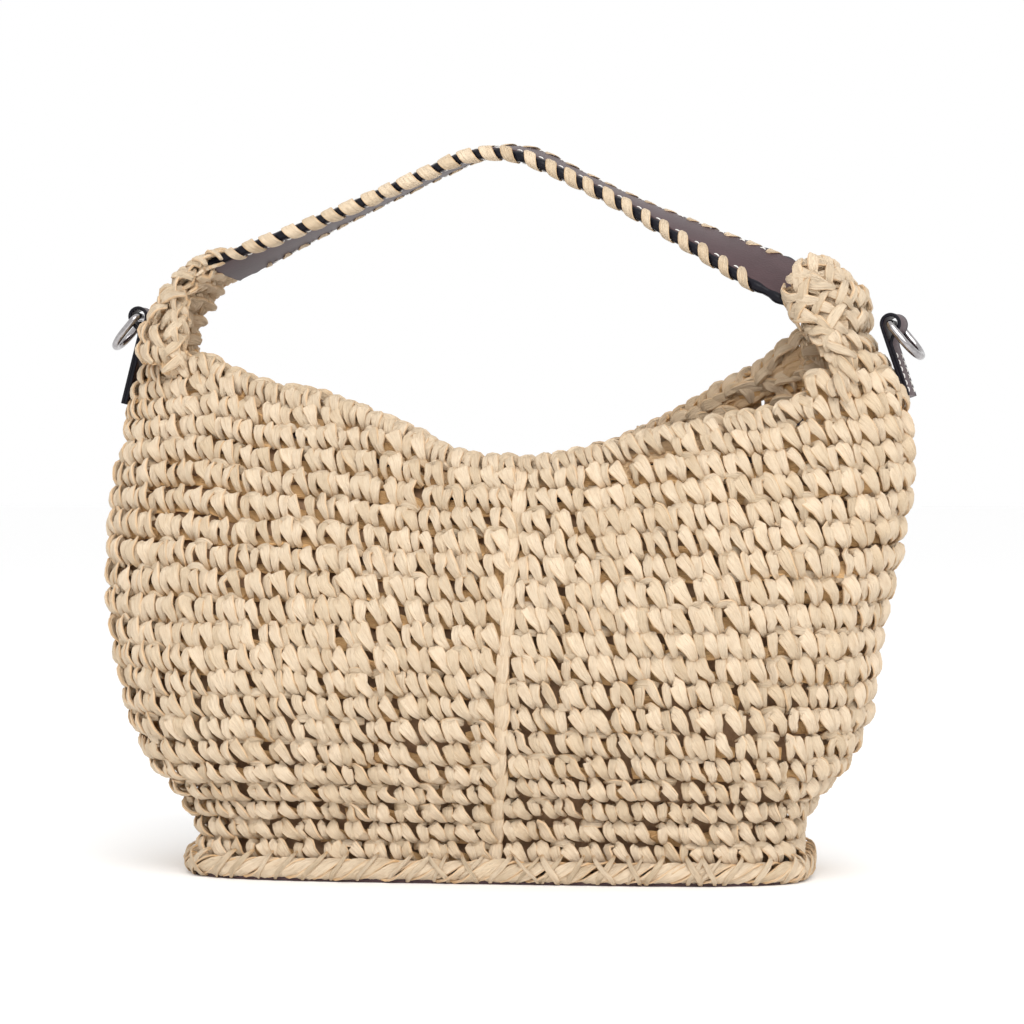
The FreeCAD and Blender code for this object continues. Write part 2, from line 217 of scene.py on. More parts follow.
class Strands:
    """Collects closed strands and makes one mesh of them."""

    def __init__(self, section=FOLD):
        self.section = section
        self.points, self.faces, self.tags, self.painted_shades = [], [], [], []
        self.count = 0

    def add(self, controls, normals, widths, thicks, rings, twist=0.0, flip=False, depth=0.0):
        """controls and normals are (strands, points, 3); the other values broadcast to them."""
        strands, given = controls.shape[:2]
        if not strands:
            return
        weights = spline_weights(given, rings)
        centre = np.einsum("rk,skx->srx", weights, controls)
        normal = np.einsum("rk,skx->srx", weights, np.broadcast_to(normals, controls.shape))
        width, thick, painted_shade, turn = [np.broadcast_to(values, (strands, given)) @ weights.T
                                    for values in (widths, thicks, depth, twist)]
        along = unit(np.gradient(centre, axis=1))
        across = unit(np.cross(along, normal))
        across, out = turned(across, np.cross(across, along), -turn[..., None])
        side = np.broadcast_to(self.section[:, 0], (strands, rings, len(self.section)))
        rise = np.broadcast_to(self.section[:, 1], side.shape)
        flip = np.broadcast_to(flip, strands)
        side = side * np.where(flip, -1.0, 1.0)[:, None, None]
        ring = (centre[:, :, None] + across[:, :, None] * (width[..., None] * side / 2)[..., None]
                + out[:, :, None] * (thick[..., None] * rise / 2)[..., None])
        tag = np.empty(ring.shape)
        tag[..., 0] = lengths_along(centre)[..., None]
        tag[..., 1] = side
        tag[..., 2] = RNG.uniform(0, 1, strands)[:, None, None]
        # painted shade amount at each point, which the raffia material turns into a darker, warmer colour
        painted_shade = np.broadcast_to(painted_shade[..., None], side.shape).copy()
        for values in (ring, tag, painted_shade):
            values[flip] = values[flip][:, :, ::-1]
        m = len(self.section)
        base = self.count + np.arange(strands) * rings * m
        self.faces.append((base[:, None, None] + tube_sides(rings, m)).reshape(-1, 4))
        self.faces.append(np.concatenate([base[:, None] + end for end in tube_ends(rings, m)]))
        self.points.append(ring.reshape(-1, 3))
        self.tags.append(tag.reshape(-1, 3))
        self.painted_shades.append(painted_shade.reshape(-1))
        self.count += strands * rings * m

    def build(self, name, material, crease=CREASE_ANGLE):
        mesh = mesh_from(name, np.concatenate(self.points), self.faces)
        tags = mesh.attributes.new("strand", "FLOAT_VECTOR", "POINT")
        tags.data.foreach_set("vector", np.concatenate(self.tags).astype(np.float32).ravel())
        # the depth attribute carries that painted shade amount
        depth = mesh.attributes.new("depth", "FLOAT", "POINT")
        depth.data.foreach_set("value", np.concatenate(self.painted_shades).astype(np.float32))
        return finish_mesh(name, mesh, material, crease)


def mesh_from(name, points, faces):
    """points in mm; faces is a list of arrays, each of faces with the same number of corners."""
    mesh = bpy.data.meshes.new(name)
    loops = np.concatenate([f.reshape(-1) for f in faces])
    sizes = np.concatenate([np.full(len(f), f.shape[1]) for f in faces])
    mesh.vertices.add(len(points))
    mesh.vertices.foreach_set("co", (points * MM).astype(np.float32).ravel())
    mesh.loops.add(len(loops))
    mesh.loops.foreach_set("vertex_index", loops.astype(np.int32))
    mesh.polygons.add(len(sizes))
    mesh.polygons.foreach_set("loop_start", np.concatenate([[0], np.cumsum(sizes)[:-1]]).astype(np.int32))
    mesh.update(calc_edges=True)
    return mesh


def in_scene(name, data):
    obj = bpy.data.objects.new(name, data)
    bpy.context.scene.collection.objects.link(obj)
    return obj


def finish_mesh(name, mesh, material, crease):
    mesh.polygons.foreach_set("use_smooth", [True] * len(mesh.polygons))
    if crease:
        mesh.set_sharp_from_angle(angle=crease)
    mesh.materials.append(material)
    obj = in_scene(name, mesh)
    return obj


def sweep(name, path, normals, section, material, closed=False, scale=1.0, crease=SLAB_CREASE):
    """A section, given as across and out in mm, carried along a path."""
    count, m = len(path), len(section)
    if closed:
        along = unit(np.roll(path, -1, 0) - np.roll(path, 1, 0))
    else:
        along = unit(np.gradient(path, axis=0))
    across = unit(np.cross(along, normals))
    out = np.cross(across, along)
    size = np.broadcast_to(scale, (count, 2))
    points = (path[:, None] + across[:, None] * (section[None, :, 0] * size[:, :1])[..., None]
              + out[:, None] * (section[None, :, 1] * size[:, 1:])[..., None]).reshape(-1, 3)
    faces = [tube_sides(count, m, closed)]
    if not closed:
        faces += tube_ends(count, m)
    return finish_mesh(name, mesh_from(name, points, faces), material, crease)


def slab(half_width, low, high, corner, steps=3):
    """Section of a flat strip with rounded corners, anticlockwise."""
    turns = np.linspace(0, pi / 2, steps + 1)
    points = []
    for i, (x, y) in enumerate([(1, 1), (-1, 1), (-1, -1), (1, -1)]):
        centre = (x * (half_width - corner), (high if y > 0 else low) - y * corner)
        points += [(centre[0] + corner * cos(t + i * pi / 2),
                    centre[1] + corner * sin(t + i * pi / 2)) for t in turns]
    return np.array(points)


# ---- materials ----
class Nodes:
    """A short way to write a material's node tree."""

    def __init__(self, name, **settings):
        self.material = bpy.data.materials.new(name)
        self.material.use_nodes = True
        self.tree = self.material.node_tree
        self.shader = self.tree.nodes["Principled BSDF"]
        for key, value in settings.items():
            self.shader.inputs[key.replace("_", " ")].default_value = value

    def make(self, kind, inputs=None, **properties):
        node = self.tree.nodes.new("ShaderNode" + kind)
        for key, value in properties.items():
            setattr(node, key, value)
        for key, value in (inputs or {}).items():
            if isinstance(value, bpy.types.NodeSocket):
                self.tree.links.new(value, node.inputs[key])
            else:
                node.inputs[key].default_value = value
        return node

    def link(self, socket, name):
        self.tree.links.new(socket, self.shader.inputs[name])

    def noise(self, vector, scale, detail=3.0, rough=0.5):
        inputs = {"Vector": vector, "Scale": scale, "Detail": detail, "Roughness": rough}
        return self.make("TexNoise", inputs).outputs["Fac"]

    def ramp(self, fac, stops):
        node = self.make("ValToRGB", {"Fac": fac})
        while len(node.color_ramp.elements) < len(stops):
            node.color_ramp.elements.new(0.5)
        for element, (place, colour) in zip(node.color_ramp.elements, stops):
            element.position = place
            element.color = (*colour, 1)
        return node.outputs["Color"]

    def math(self, operation, a, b=0.0):
        return self.make("Math", {0: a, 1: b}, operation=operation).outputs[0]

    def scaled(self, vector, by):
        inputs = {0: vector, 1: by}
        return self.make("VectorMath", inputs, operation="MULTIPLY").outputs[0]

    def mix(self, fac, a, b, blend="MIX"):
        a, b = [(*value, 1) if isinstance(value, tuple) else value for value in (a, b)]
        return self.make("Mix", {0: fac, 6: a, 7: b}, data_type="RGBA", blend_type=blend).outputs[2]

    def bump(self, height, strength, distance):
        inputs = {"Height": height, "Strength": strength, "Distance": distance}
        return self.make("Bump", inputs).outputs["Normal"]


BLACK, WHITE = (0, 0, 0), (1, 1, 1)


def raffia_material(name, light, dark, edge, painted_shade):
    n = Nodes(name, Roughness=0.62, Specular_IOR_Level=0.32)
    strand = n.make("Attribute", attribute_name="strand").outputs["Vector"]
    parts = n.make("SeparateXYZ", {0: strand})
    streaks = n.noise(n.scaled(strand, (0.05, 2.6, 37.0)), 1.6, 4.0, 0.6)
    fine = n.noise(n.scaled(strand, (0.12, 9.0, 61.0)), 1.5, 3.0, 0.6)
    patch = n.noise(n.scaled(strand, (0.16, 0.7, 23.0)), 1.0, 2.0)
    body = n.ramp(n.math("ADD", n.math("MULTIPLY", streaks, 0.6), n.math("MULTIPLY", patch, 0.4)),
                  [(0.30, dark), (0.52, light), (0.75, tuple(min(1, c * 1.10) for c in light))])
    chance = n.make("TexWhiteNoise", {"W": parts.outputs["Z"]}, noise_dimensions="1D")
    tone = n.ramp(chance.outputs["Value"],
                  [(0.0, (0.86, 0.83, 0.78)), (0.5, WHITE), (1.0, (1.05, 1.05, 1.06))])
    body = n.mix(1.0, body, tone, "MULTIPLY")
    # painted shade: thin dark lines in the bump's grooves, mixed towards the edge colour
    crease_shade = n.ramp(fine, [(0.36, WHITE), (0.44, BLACK)])
    body = n.mix(n.math("MULTIPLY", crease_shade, 0.25), body, edge)
    # painted shade: each strand darkens towards the edge colour near its rims, where its surface turns away
    # from the light
    rim = n.ramp(n.math("ABSOLUTE", parts.outputs["Y"]), [(0.80, BLACK), (1.0, WHITE)])
    body = n.mix(n.math("MULTIPLY", rim, 0.62), body, edge)
    # painted shade: the depth attribute pulls the colour towards the last, shade-tint colour where raffia
    # lies deep between strands
    depth = n.make("Attribute", attribute_name="depth").outputs["Fac"]
    body = n.mix(n.ramp(depth, [(0.05, BLACK), (1.0, WHITE)]), body, painted_shade)
    n.link(body, "Base Color")
    height = n.math("ADD", n.math("MULTIPLY", streaks, 1.2), n.math("MULTIPLY", fine, 0.6))
    n.link(n.bump(height, 1.0, 0.0011), "Normal")
    return n.material


# edge is the painted shade colour at strand rims and in fine creases; the last colour is the painted shade
# tint for raffia lying deep between strands
RAFFIA = raffia_material("raffia", light=(0.80, 0.645, 0.465), dark=(0.69, 0.52, 0.345),
                         edge=(0.60, 0.35, 0.15), painted_shade=(0.80, 0.49, 0.22))


def leather_material(name, colour, rough, gloss=0.3):
    n = Nodes(name, Roughness=rough, Specular_IOR_Level=gloss)
    where = n.make("TexCoord").outputs["Object"]
    pores = n.make("TexVoronoi", {"Vector": where, "Scale": 900.0}, feature="F1").outputs["Distance"]
    cloud = n.noise(where, 90.0, 4.0)
    lighter = tuple(min(1, c * 1.35) for c in colour)
    n.link(n.ramp(cloud, [(0.3, colour), (0.75, lighter)]), "Base Color")
    wrinkle = n.noise(where, 420.0, 3.0, 0.6)
    height = n.math("ADD", n.math("MULTIPLY", pores, 0.7), n.math("MULTIPLY", wrinkle, 0.5))
    n.link(n.bump(height, 0.35, 0.0003), "Normal")
    return n.material


LEATHER = leather_material("brown_leather", (0.056, 0.031, 0.034), 0.44, 0.24)
EDGE_PAINT = leather_material("painted_edge", (0.006, 0.0055, 0.009), 0.34, 0.16)


def grained_material(name, rough, scale, dark, light, raised=False, **settings):
    n = Nodes(name, Roughness=rough, **settings)
    grain = n.noise(n.make("TexCoord").outputs["Object"], scale, 3.0, 0.6 if raised else 0.5)
    n.link(n.ramp(grain, [(0.3, dark), (0.7, light)]), "Base Color")
    if raised:
        n.link(n.bump(grain, 0.4, 0.0004), "Normal")
    return n.material


CLOTH = grained_material("lining_cloth", 0.9, 500.0, (0.33, 0.20, 0.115), (0.44, 0.28, 0.165), True,
                         Specular_IOR_Level=0.15)
THREAD = grained_material("pale_thread", 0.55, 900.0, (0.62, 0.60, 0.56), (0.85, 0.83, 0.79))
BOARD = grained_material("grey_board", 0.9, 300.0, (0.22, 0.19, 0.16), (0.32, 0.28, 0.24))
BINDING = leather_material("binding_leather", (0.035, 0.028, 0.032), 0.5)


def metal_material():
    n = Nodes("ring_metal", Metallic=1.0, Roughness=0.16)
    where = n.make("TexCoord").outputs["Object"]
    # painted reflection: a darkened, mottled base colour stands in for the dark reflections on the chrome;
    # the same noise also varies the roughness
    reflection_mottle = n.noise(where, 350.0, 4.0, 0.7)
    n.link(n.ramp(reflection_mottle, [(0.3, (0.27, 0.255, 0.26)), (0.7, (0.48, 0.46, 0.46))]), "Base Color")
    n.link(n.ramp(reflection_mottle, [(0.3, (0.12,) * 3), (0.75, (0.24,) * 3)]), "Roughness")
    return n.material


METAL = metal_material()


# ---- crochet ----
# One strand of a stitch in the stitch's own frame: along the row (share of the stitch pitch),
# up (share of the row pitch) and out (mm), with the strand's width and thickness in mm there.
LEFT_LEG = numbers(
    (0.15, 0.38, -4.6, 3.2, 1.5), (0.12, 0.50, -1.4, 4.4, 1.8), (0.12, 0.37, 0.7, 4.9, 2.1),
    (0.17, 0.04, 1.2, 4.4, 2.3), (0.26, -0.32, 0.0, 3.2, 2.0), (0.36, -0.57, -3.2, 2.1, 1.4),
)
RIGHT_LEG = numbers(
    (0.36, 0.40, -4.6, 4.0, 1.5), (0.40, 0.52, -1.2, 5.8, 1.9), (0.50, 0.40, 1.0, 6.5, 2.2),
    (0.68, 0.05, 1.7, 5.5, 2.4), (0.87, -0.32, 0.2, 3.7, 2.0), (1.00, -0.58, -3.2, 2.3, 1.4),
)
TOP_LOOP = numbers(
    (-0.10, 0.44, -3.4, 2.6, 1.6), (0.15, 0.60, -1.2, 3.8, 2.0), (0.55, 0.63, -0.9, 4.0, 2.0),
    (0.85, 0.52, -2.6, 2.8, 1.6),
)
BACK_BAR = numbers(
    (-0.1, -0.34, -4.4, 5.2, 2.0), (0.3, -0.24, -4.8, 6.2, 2.4), (0.7, -0.28, -4.8, 6.2, 2.4),
    (1.1, -0.36, -4.4, 5.2, 2.0),
)
INNER_BAR = numbers(
    (-0.2, 0.0, -6.0, 4.0, 2.0), (0.2, 0.12, -7.4, 6.8, 2.8), (0.8, 0.10, -7.4, 6.8, 2.8),
    (1.2, -0.05, -6.0, 4.0, 2.0),
)
INNER_POST = numbers(
    (0.3, -0.62, -5.6, 3.4, 1.8), (0.36, -0.2, -7.0, 5.6, 2.6), (0.5, 0.25, -7.2, 5.8, 2.6),
    (0.62, 0.62, -5.6, 3.6, 1.8),
)
# over the mouth's edge, from the outer face to the inner one
EDGE_LOOP = numbers(
    (-0.10, 0.16, -0.6, 3.2, 1.6), (0.14, 0.46, 0.2, 5.2, 2.2), (0.50, 0.58, -2.4, 6.4, 2.6),
    (0.84, 0.44, -5.0, 6.0, 2.4), (1.05, 0.05, -6.2, 4.6, 1.8),
)
# bands that cross each other on the necks
CROSS_UP = numbers(
    (-0.22, -0.62, -2.4, 2.8, 1.5), (0.10, -0.30, 1.0, 4.8, 2.0), (0.5, 0.08, 2.0, 5.9, 2.3),
    (0.88, 0.42, 1.0, 4.8, 2.0), (1.14, 0.68, -2.4, 2.8, 1.5),
)
CROSS_DOWN = numbers(
    (-0.12, 0.70, -2.4, 3.0, 1.5), (0.16, 0.38, 0.8, 5.2, 2.0), (0.5, 0.0, 1.5, 6.2, 2.3),
    (0.84, -0.38, 0.8, 5.0, 2.0), (1.08, -0.66, -2.4, 2.8, 1.5),
)
CROCHET_DEPTH = -2.2                 # middle of the outer strands, from the CAD's outer face
MEAN_PITCH = 10.5                    # stitch pitch that the patterns' widths are drawn for
PAINTED_SHADE_START, PAINTED_SHADE_END = -1.2, -4.6    # out positions between which raffia takes on its painted shade tint


class Spots:
    """Where stitches sit: place, direction along the row, up and out, and the two pitches."""

    GIVEN = ("place", "along", "up", "pitch", "rise")

    def __init__(self, place, along, up, pitch, rise):
        self.place, self.along = place, unit(along)
        self.out = unit(np.cross(self.along, up))
        self.up = np.cross(self.out, self.along)
        self.pitch = np.broadcast_to(pitch, place.shape[:1]).astype(float)
        self.rise = np.broadcast_to(rise, place.shape[:1]).astype(float)

    def only(self, keep):
        return Spots(*[getattr(self, name)[keep] for name in self.GIVEN])

    def moved_up(self, distance):
        return Spots(self.place + self.up * distance, self.along, self.up, self.pitch, self.rise)

    def some(self, share):
        return self.only(RNG.random(len(self)) < share)

    def __len__(self):
        return len(self.place)


def join_spots(spots):
    return Spots(*[np.concatenate([getattr(s, name) for s in spots]) for name in Spots.GIVEN])


def knit(strands, spots, pattern, loose=1.0, twist=0.22, lift=0.0, widen=1.0, shade=1.0, rings=9):
    """Lays one strand of a pattern at every spot, each a little different."""
    count, points = len(spots), len(pattern)
    if not count:
        return
    wander = RNG.normal(size=(count, points, 3)) * (0.035, 0.03, 0.25) * loose
    wander += RNG.normal(size=(count, 1, 3)) * (0.05, 0.04, 0.30) * loose
    local = pattern[None, :, :3] + wander
    controls = (spots.place[:, None]
                + spots.along[:, None] * (local[..., 0] * spots.pitch[:, None])[..., None]
                + spots.up[:, None] * (local[..., 1] * spots.rise[:, None])[..., None]
                + spots.out[:, None] * (local[..., 2] + CROCHET_DEPTH + lift)[..., None])
    size = spots.pitch[:, None] / MEAN_PITCH
    widths = pattern[None, :, 3] * size * widen * RNG.normal(1, 0.10, (count, 1))
    thicks = pattern[None, :, 4] * RNG.normal(1, 0.10, (count, 1))
    lean = RNG.normal(0, twist, (count, 1)) + RNG.normal(0, twist, (count, 1)) * np.linspace(-1, 1, points)
    # painted shade: the deeper a strand lies below the outer face, the more its colour is pulled towards the
    # shade tint
    depth = shade * smooth_step((local[..., 2] + lift - PAINTED_SHADE_START) / (PAINTED_SHADE_END - PAINTED_SHADE_START))
    strands.add(controls, spots.out[:, None], widths, thicks, rings, lean, RNG.random(count) < 0.5, depth)


SEAM_FOOT, SEAM_TOP = (0.5, 10.0), (14.0, 205.0)   # x and z of the front seam
SEAM_SIDE = {"front": "right", "back": "left"}     # the panel that holds each seam's leaves


def seam_x(z):
    share = (z - SEAM_FOOT[1]) / (SEAM_TOP[1] - SEAM_FOOT[1])
    return SEAM_FOOT[0] + (SEAM_TOP[0] - SEAM_FOOT[0]) * share


FOLLOW, FOLLOW_START = 0.34, 110     # share of the mouth's rise that rows take on, from a height
ROW_WAVE, WALL_WAVE = 0.9, 1.3       # unevenness of the rows, up and out


def row_line(level, angles):
    """A row's line round the body; rows near the mouth rise towards the ends with its edge."""
    z = np.full_like(angles, float(level))
    follow = FOLLOW * smooth_step((level - FOLLOW_START) / FOLLOW_START)
    for _ in range(3):
        x = wall(angles, z)[..., 0]
        z = level + follow * (mouth_height(x, angles) - MOUTH_LOW)
    p = wall(angles, z)
    p[..., 2] += ROW_WAVE * ripple(p, 90, 3) * smooth_step((level - 12) / 20)
    return p


ROW_FOOT, ROW_END = 14.0, 262.0
# height of a row, and the row pitch there
ROW_PITCHES = {
    "left": numbers((0, 8.5), (34, 8.7), (64, 11.5), (130, 11.6), (200, 9.9), (262, 9.5)),
    "right": numbers((0, 9.5), (34, 9.6), (64, 12.2), (130, 12.0), (200, 10.6), (262, 10.4)),
}
STITCH_PITCH = {"left": 12.1, "right": 12.0}
BORDER_ROW, BORDER_STITCH = 9.6, 8.6             # pitches of the finer row along the mouth's edge
BORDER_SINK = 4.8                                # from the mouth's edge to that row's middle
HALF_ROW = 4.6                                   # extra inner bars sit this far from their row
LOW_ROWS, LOW_WIDTH = 95, 0.94                   # height below which stitches are slimmer
LOW_RISE = 0.88                                  # share of the row pitch that the lowest ones fill
TOP_LOOPS, LOW_BARS = 0.45, 0.45                 # shares of stitches that have one
ROW_STOP = {"left": -2.2, "right": 7.2}          # from the front seam's valley to a row's end
NECK_START = {"left": 253.0, "right": 246.0}    # where the wall's rows end and the neck's begin
EDGE_ROOM = 8.5                                 # below the mouth's edge, kept for the border row
LINED_BELOW = 20.0                              # depth below the mouth's edge where lining begins
END_FROM = 140.0                                # sideways, where a panel's end piece takes over


def resample(line, along_source, pitch):
    """Even spots along a line of points, with the value of along_source and the direction there."""
    run = lengths_along(line)
    count = max(2, round(run[-1] / pitch))
    exact = run[-1] / count
    at = np.clip((np.arange(count) + 0.02 + RNG.normal(0, 0.05, count)) * exact, 0, run[-1])
    ahead, behind = np.minimum(at + exact / 3, run[-1]), np.maximum(at - exact / 3, 0)
    along = along_line(ahead, run, line) - along_line(behind, run, line)
    return np.interp(at, run, along_source), along_line(at, run, line), along, exact


def fine_angles(first, last):
    """Angles from first to last, close together where a squarish section runs fast."""
    close = np.geomspace(1e-7, 0.3, 160)
    corners = np.arange(-2, 5) * pi / 2
    near = (corners[:, None] + np.concatenate([-close, close])[None]).ravel()
    angles = np.union1d(np.linspace(first, last, 700), near)
    return angles[(angles >= first) & (angles <= last)]


def wall_up(angle, z):
    return wall(angle, z + 2) - wall(angle, z - 2)


def panel_row(side, level):
    """Spots of one row of a panel, in order from its left end to its right end."""
    first = -0.6 if side == "right" else 0.4
    angles = fine_angles(first * pi, (first + 1.2) * pi)
    line = row_line(level, angles)
    front = np.sin(angles) < 0
    seam = np.where(front, seam_x(line[:, 2]), -seam_x(line[:, 2]))
    beyond = (line[:, 0] - seam) * (1 if side == "right" else -1)
    # seen from the back the same seam repeats, turned half round
    stop = np.where(front == (side == "right"), ROW_STOP["right"], ROW_STOP["left"])
    inside = beyond > stop
    here, place, along, pitch = resample(line[inside], angles[inside], STITCH_PITCH[side])
    up = wall_up(here, place[:, 2])
    spots = Spots(place, along, up, pitch, row_pitch(side, level))
    spots.place = spots.place + spots.out * (WALL_WAVE * ripple(place, 70, 9))[:, None]
    edge = mouth_height(place[:, 0], here) - EDGE_ROOM
    edge = np.where(np.abs(place[:, 0]) > MOUTH_REACH, NECK_START[side], edge)
    return spots.only(place[:, 2] < edge)


def row_pitch(side, level):
    return np.interp(level, *ROW_PITCHES[side].T)


def panel_spots(side):
    levels = [ROW_FOOT]
    while levels[-1] < ROW_END:
        levels.append(levels[-1] + row_pitch(side, levels[-1] + 5))
    spots = join_spots([row for row in (panel_row(side, z) for z in levels) if len(row)])
    higher = smooth_step((spots.place[:, 2] - 70) / 60)
    spots.rise = spots.rise * (LOW_RISE + (1 - LOW_RISE) * higher)
    return spots


def mouth_spots(side, back):
    """Spots along one wall's mouth edge; their rows follow the edge."""
    x = np.linspace(-156, 154, 700)
    z = through(MOUTH_BACK if back else MOUTH, x)[..., 0]
    on_right = (side == "right") != back
    middle = SEAM_TOP[0] + 1
    keep = (x > middle) if on_right else (x < middle)
    keep &= np.abs(x) < MOUTH_REACH
    x, z = x[keep], z[keep]
    angle = -front_angle(-x, z) if back else front_angle(x, z)
    line = wall(angle, z)
    here, place, along, pitch = resample(line, angle, BORDER_STITCH)
    spots = Spots(place, along, wall_up(here, place[:, 2]), pitch, BORDER_ROW)
    return spots.moved_up(-BORDER_SINK)


LEAF_STEP, LEAF_ASIDE = 11.4, 4.1    # between two leaves of a seam, and from its valley
# a leaf in mm: across, up and out, with its width, thickness and painted shade tint, strongest at its
# tucked-in ends
LEAF = numbers(
    (0.5, 9.5, -4.0, 4.4, 1.2, 0.5), (0.3, 6.4, -0.6, 6.8, 1.5, 0.15), (0, 0, 0.3, 7.6, 1.7, 0.05),
    (-0.4, -6.2, -0.5, 5.4, 1.5, 0.15), (-1.2, -9.5, -4.0, 2.6, 1.2, 0.6),
)


def seam_band(strands, back):
    """Flattened leaves that run down the right of a seam, and the valley behind them."""
    levels = np.arange(12, 196, LEAF_STEP)
    count = len(levels)
    offset = LEAF_ASIDE + RNG.normal(0, 0.5, count)
    place = front_point(seam_x(levels) + offset, levels)
    above = front_point(seam_x(levels + 4) + offset, levels + 4)
    up = unit(above - place)
    out = unit(np.cross(np.array([1.0, 0, 0]) + 0 * up, up))
    along = np.cross(up, out)
    sway = RNG.normal(0, 0.9, (count, 1)) * np.linspace(1, -1, len(LEAF))
    local = LEAF[None, :, :3] + RNG.normal(size=(count, len(LEAF), 3)) * (0.25, 0.4, 0.2)
    controls = (place[:, None] + along[:, None] * (local[..., 0] + sway)[..., None]
                + up[:, None] * local[..., 1:2] + out[:, None] * (local[..., 2:3] + CROCHET_DEPTH))
    lean = RNG.normal(0, 0.15, (count, 1))
    widths = LEAF[None, :, 3] * RNG.normal(1, 0.12, (count, 1))
    if back:
        controls, out = half_turned(controls), half_turned(out)
    strands.add(controls, out[:, None], widths, LEAF[None, :, 4], 9, lean, depth=LEAF[None, :, 5])
    # the valley strand behind the leaves takes the full painted shade tint
    z = np.linspace(10, 198, 24)
    line = front_point(seam_x(z) + 0.5, z, CROCHET_DEPTH - 4.6)
    face = np.array([0, -1.0, 0]) + 0 * line
    if back:
        line, face = half_turned(line), half_turned(face)
    strands.add(line[None], face[None], 9.0, 2.0, 40, depth=1.0)


def make_panel(side):
    spots = panel_spots(side)
    depth = spots.place[:, 1] + skew_at(spots.place[:, 2]) * spots.place[:, 0]
    end = np.abs(spots.place[:, 0]) >= END_FROM
    regions = {"front": (depth < 0) & ~end, "back": (depth > 0) & ~end, "end": end}
    made = []
    for region, keep in regions.items():
        some = spots.only(keep)
        low = some.place[:, 2] < LOW_ROWS
        strands = Strands()
        slim = np.where(low, LOW_WIDTH, 1.0)[:, None]
        knit(strands, some.some(TOP_LOOPS), TOP_LOOP, twist=0.25)
        for leg in (LEFT_LEG, RIGHT_LEG):
            knit(strands, some, leg, widen=slim)
        knit(strands, some.only(~low | (RNG.random(len(some)) < LOW_BARS)), BACK_BAR, twist=0.3)
        brim = mouth_height(some.place[:, 0], np.where(some.place[:, 1] < 0, -1.57, 1.57))
        bare = some.only(some.place[:, 2] > brim - LINED_BELOW)
        for strand in (INNER_BAR, INNER_POST):
            knit(strands, bare, strand, twist=0.4, loose=1.6, shade=0.2)
        knit(strands, bare.moved_up(HALF_ROW), BACK_BAR, twist=0.2, shade=0.6)
        if region == "end":
            edges = [mouth_spots(side, False), mouth_spots(side, True)]
            edge = join_spots([e.only(np.abs(e.place[:, 0]) >= END_FROM) for e in edges])
        else:
            edge = mouth_spots(side, region == "back")
            edge = edge.only(np.abs(edge.place[:, 0]) < END_FROM)
            if side == SEAM_SIDE[region]:
                seam_band(strands, region == "back")
        for leg in (LEFT_LEG, RIGHT_LEG):
            knit(strands, edge, leg)
        knit(strands, edge, EDGE_LOOP, twist=0.2, shade=0.25)
        knit(strands, edge, BACK_BAR, twist=0.3, shade=0.6)
        knit(strands, edge.moved_up(-HALF_ROW), BACK_BAR, twist=0.2, shade=0.6)
        knit(strands, edge, INNER_BAR, twist=0.4, loose=1.5, shade=0.2)
        made.append(strands.build(f"crochet_{side}_{region}", RAFFIA))
    return made


# ---- necks ----
# path length, then u and z of the middle, tilt in degrees, half-thickness and half-depth
NECKS = {
    "left": numbers(
        (-14.0, 171.5, 234.0, 0, 20.5, 36.0), (0.0, 170.8, 248, 2, 20.3, 32.0),
        (18.1, 167.2, 266, 8, 18.5, 28.0), (34.3, 159, 281, 33, 14.5, 26.0),
        (47.8, 150, 290, 58, 11.5, 24.0), (63.1, 137, 297, 66, 9.0, 22.0),
    ),
    "right": numbers(
        (-14.0, 176.5, 234.0, 0, 24.0, 36.0), (0.0, 176.5, 248, 2, 24.0, 32.0),
        (8.6, 175.7, 256.5, 3, 23.4, 30.0), (18.1, 172, 266, 6, 18.0, 28.0),
        (34.3, 170.5, 281, 28, 16.5, 26.5),
        (47.8, 164, 291, 52, 13.0, 25.0), (63.1, 152, 300, 62, 10.0, 23.0),
    ),
}
NECK_SQUARENESS = 2.6
NECK_ROWS_START, NECK_ROWS_END = {"left": 3.0, "right": 0.0}, {"left": 57.0, "right": 60.0}
NECK_EDGE_END = {"left": 51.0, "right": 58.0}
# path length and the angles, in degrees, to which the crochet reaches clockwise and back
NECK_COVERS = {
    "left": numbers(
        (-14, 78, 132), (0, 70, 124), (16, 62, 109), (30, 58, 89), (46, 50, 71), (64, 54, 62),
    ),
    "right": numbers(
        (-14, 88, 140), (0, 80, 146), (16, 83, 150), (30, 106, 156), (46, 152, 160), (64, 172, 166),
    ),
}
NECK_LIFT = 1.6                      # of the neck's bands above the wall's
NECK_STITCH, NECK_ROW, NECK_ROW_STEP = 9.2, 9.0, 8.6   # pitches, and the step between two rows
CROSS_START, CROSS_RISE = 8, 26      # path lengths over which legs give way to crossing bands
NECK_LINED_TO = 52                   # path length up to which strands lie inside


def neck_cover(side, run):
    """Angles between which the crochet goes round a neck, at a length along it."""
    reach = np.radians(through(NECK_COVERS[side], np.asarray(run, float)))
    return -reach[..., 0], reach[..., 1]


def neck_point(side, run, angle, out=0.0):
    """A point of a neck's surface: angle 0 is its outer side, counted round from above."""
    u, z, tilt, thick, depth = np.moveaxis(through(NECKS[side], run), -1, 0)
    tilt = np.radians(tilt)
    across = (thick + out) * squarish(np.cos(angle), 2 / NECK_SQUARENESS)
    v = (depth + out) * squarish(np.sin(angle), 2 / NECK_SQUARENESS)
    p = np.stack([u + across * np.cos(tilt), v, z + across * np.sin(tilt)], -1)
    if side == "left":
        p = half_turned(p)
    return handle_place(p)


